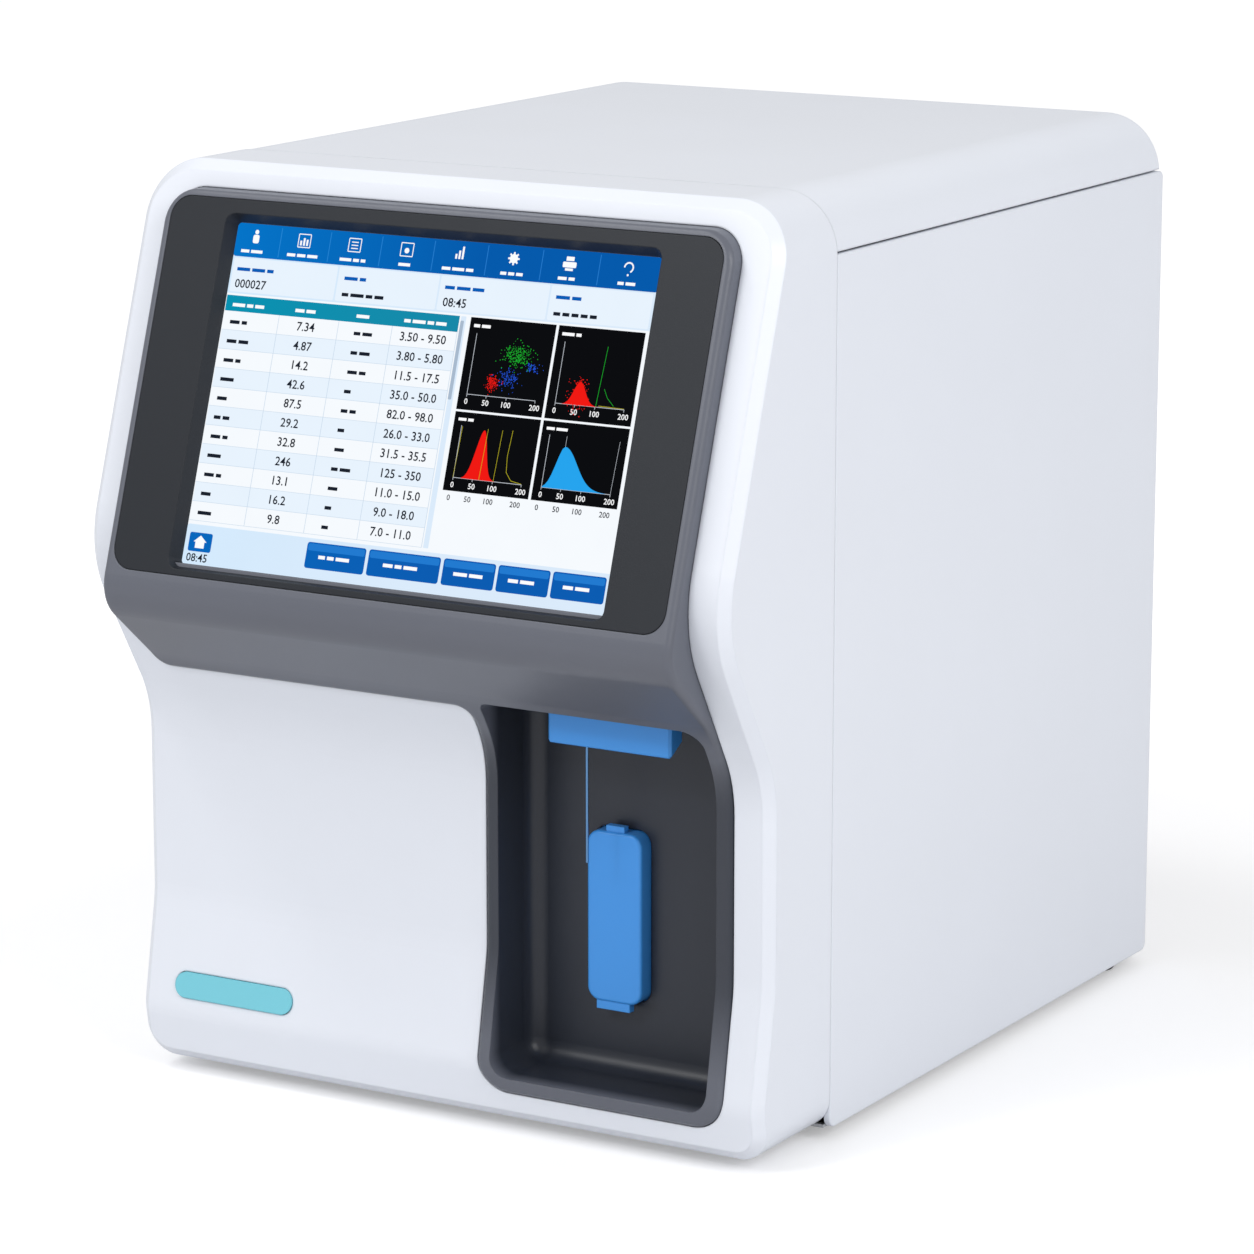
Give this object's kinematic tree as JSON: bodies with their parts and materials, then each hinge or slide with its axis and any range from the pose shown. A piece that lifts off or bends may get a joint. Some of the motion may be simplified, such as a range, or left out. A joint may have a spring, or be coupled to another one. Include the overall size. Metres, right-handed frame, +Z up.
{
  "type": "hematology analyzer",
  "caption": "Benchtop blood cell analyser with a tilted colour touch screen, an open sample bay with probe and start key, and a rear wall with fan, sockets and fluid ports.",
  "frame": {"origin": "centre of the footprint, at the undersides of the feet", "axes": "+Z up, front with the screen at -Y, right side at +X"},
  "size_m": [0.32, 0.4432, 0.412],
  "materials": {
    "white_plastic": "satin",
    "grey_plastic": "satin",
    "dark_plastic": "fine texture",
    "blue_plastic": "satin",
    "teal_lens": "translucent",
    "display": "lit display",
    "steel_sheet": "zinc plated",
    "stainless": "polished",
    "aluminium": "anodised",
    "black_plastic": "moulded",
    "rubber": "matte",
    "clear_plastic": "clear",
    "pcb": "solder mask",
    "brass": "machined",
    "motor_steel": "satin"
  },
  "bodies": {
    "housing": {"base_plate": "steel_sheet", "board_standoffs": "brass", "count_baths": "clear_plastic", "diluent_syringe_barrel": "clear_plastic", "divider_wall": "steel_sheet", "driver_board": "pcb", "fan_frame": "black_plastic", "fan_guard": "stainless", "fascia": "grey_plastic", "feet": "rubber", "fluid_ports": "stainless", "fluidics_deck": "steel_sheet", "foot_screws": "stainless", "front_cover": "white_plastic", "guide_rods": "stainless", "hgb_sensor": "black_plastic", "key_bracket": "steel_sheet", "key_switch": "black_plastic", "lan_port": "stainless", "lcd_module": "aluminium", "left_side_panel": "white_plastic", "lift_frame": "aluminium", "light_board": "pcb", "main_board": "pcb", "power_inlet": "black_plastic", "power_supply": "steel_sheet", "probe_guard": "blue_plastic", "rear_panel": "white_plastic", "rear_screws": "stainless", "right_side_panel": "white_plastic", "rocker_housing": "black_plastic", "sample_syringe_barrel": "clear_plastic", "screen_bezel": "dark_plastic", "side_frame": "steel_sheet", "solenoid_valves": "black_plastic", "status_lens": "teal_lens", "stepper_motors": "motor_steel", "syringe_block": "aluminium", "syringe_motors": "motor_steel", "top_cover": "white_plastic", "touch_glass": "display", "traverse_carriage": "aluminium", "traverse_rail": "stainless", "usb_ports": "stainless", "vacuum_pump": "motor_steel", "valve_manifold": "clear_plastic", "waste_chamber": "clear_plastic", "waste_pump": "motor_steel", "wipe_block": "clear_plastic"},
    "probe_lift": {"probe_carriage": "aluminium", "sample_probe": "stainless"},
    "lift_screw": {"lift_screw": "stainless"},
    "start_key": {"aspirate_key": "blue_plastic", "switch_plunger": "black_plastic"},
    "rocker": {"power_rocker": "black_plastic"},
    "fan": {"fan_rotor": "black_plastic"},
    "diluent_plunger": {"diluent_syringe_plunger": "aluminium"},
    "diluent_screw": {"diluent_drive_screw": "stainless"},
    "sample_plunger": {"sample_syringe_plunger": "aluminium"},
    "sample_screw": {"sample_drive_screw": "stainless"}
  },
  "joints": [
    {"name": "probe_lift", "type": "slide", "parent": "housing", "child": "probe_lift", "axis": [0, 0, 1], "range_m": [0, 0.056]},
    {"name": "lift_screw_turn", "type": "hinge", "parent": "housing", "child": "lift_screw", "pos_m": [0.0684, -0.12123, 0.25], "axis": [0, 0, 1], "range_deg": [0, 1261]},
    {"name": "start_key_push", "type": "slide", "parent": "housing", "child": "start_key", "axis": [0, 1, 0], "range_m": [0, 0.0025], "stiffness_N_per_m": 600},
    {"name": "rocker_tilt", "type": "hinge", "parent": "housing", "child": "rocker", "pos_m": [-0.084, 0.20507, 0.05], "axis": [1, 0, 0], "range_deg": [0, 20]},
    {"name": "fan_spin", "type": "hinge", "parent": "housing", "child": "fan", "pos_m": [0, 0.18677, 0.31], "axis": [0, 1, 0], "continuous": true},
    {"name": "diluent_stroke", "type": "slide", "parent": "housing", "child": "diluent_plunger", "axis": [0, 0, 1], "range_m": [0, 0.04]},
    {"name": "diluent_screw_turn", "type": "hinge", "parent": "housing", "child": "diluent_screw", "pos_m": [0.1275, -0.07223, 0.1], "axis": [0, 0, 1], "range_deg": [0, 1801]},
    {"name": "sample_stroke", "type": "slide", "parent": "housing", "child": "sample_plunger", "axis": [0, 0, 1], "range_m": [0, 0.03]},
    {"name": "sample_screw_turn", "type": "hinge", "parent": "housing", "child": "sample_screw", "pos_m": [0.1275, -0.01223, 0.1], "axis": [0, 0, 1], "range_deg": [0, 1351]}
  ],
  "couplings": [
    {"joint": "lift_screw_turn", "follows": "probe_lift", "rad_per_m": 392.7},
    {"joint": "diluent_screw_turn", "follows": "diluent_stroke", "rad_per_m": 785.4},
    {"joint": "sample_screw_turn", "follows": "sample_stroke", "rad_per_m": 785.4}
  ]
}
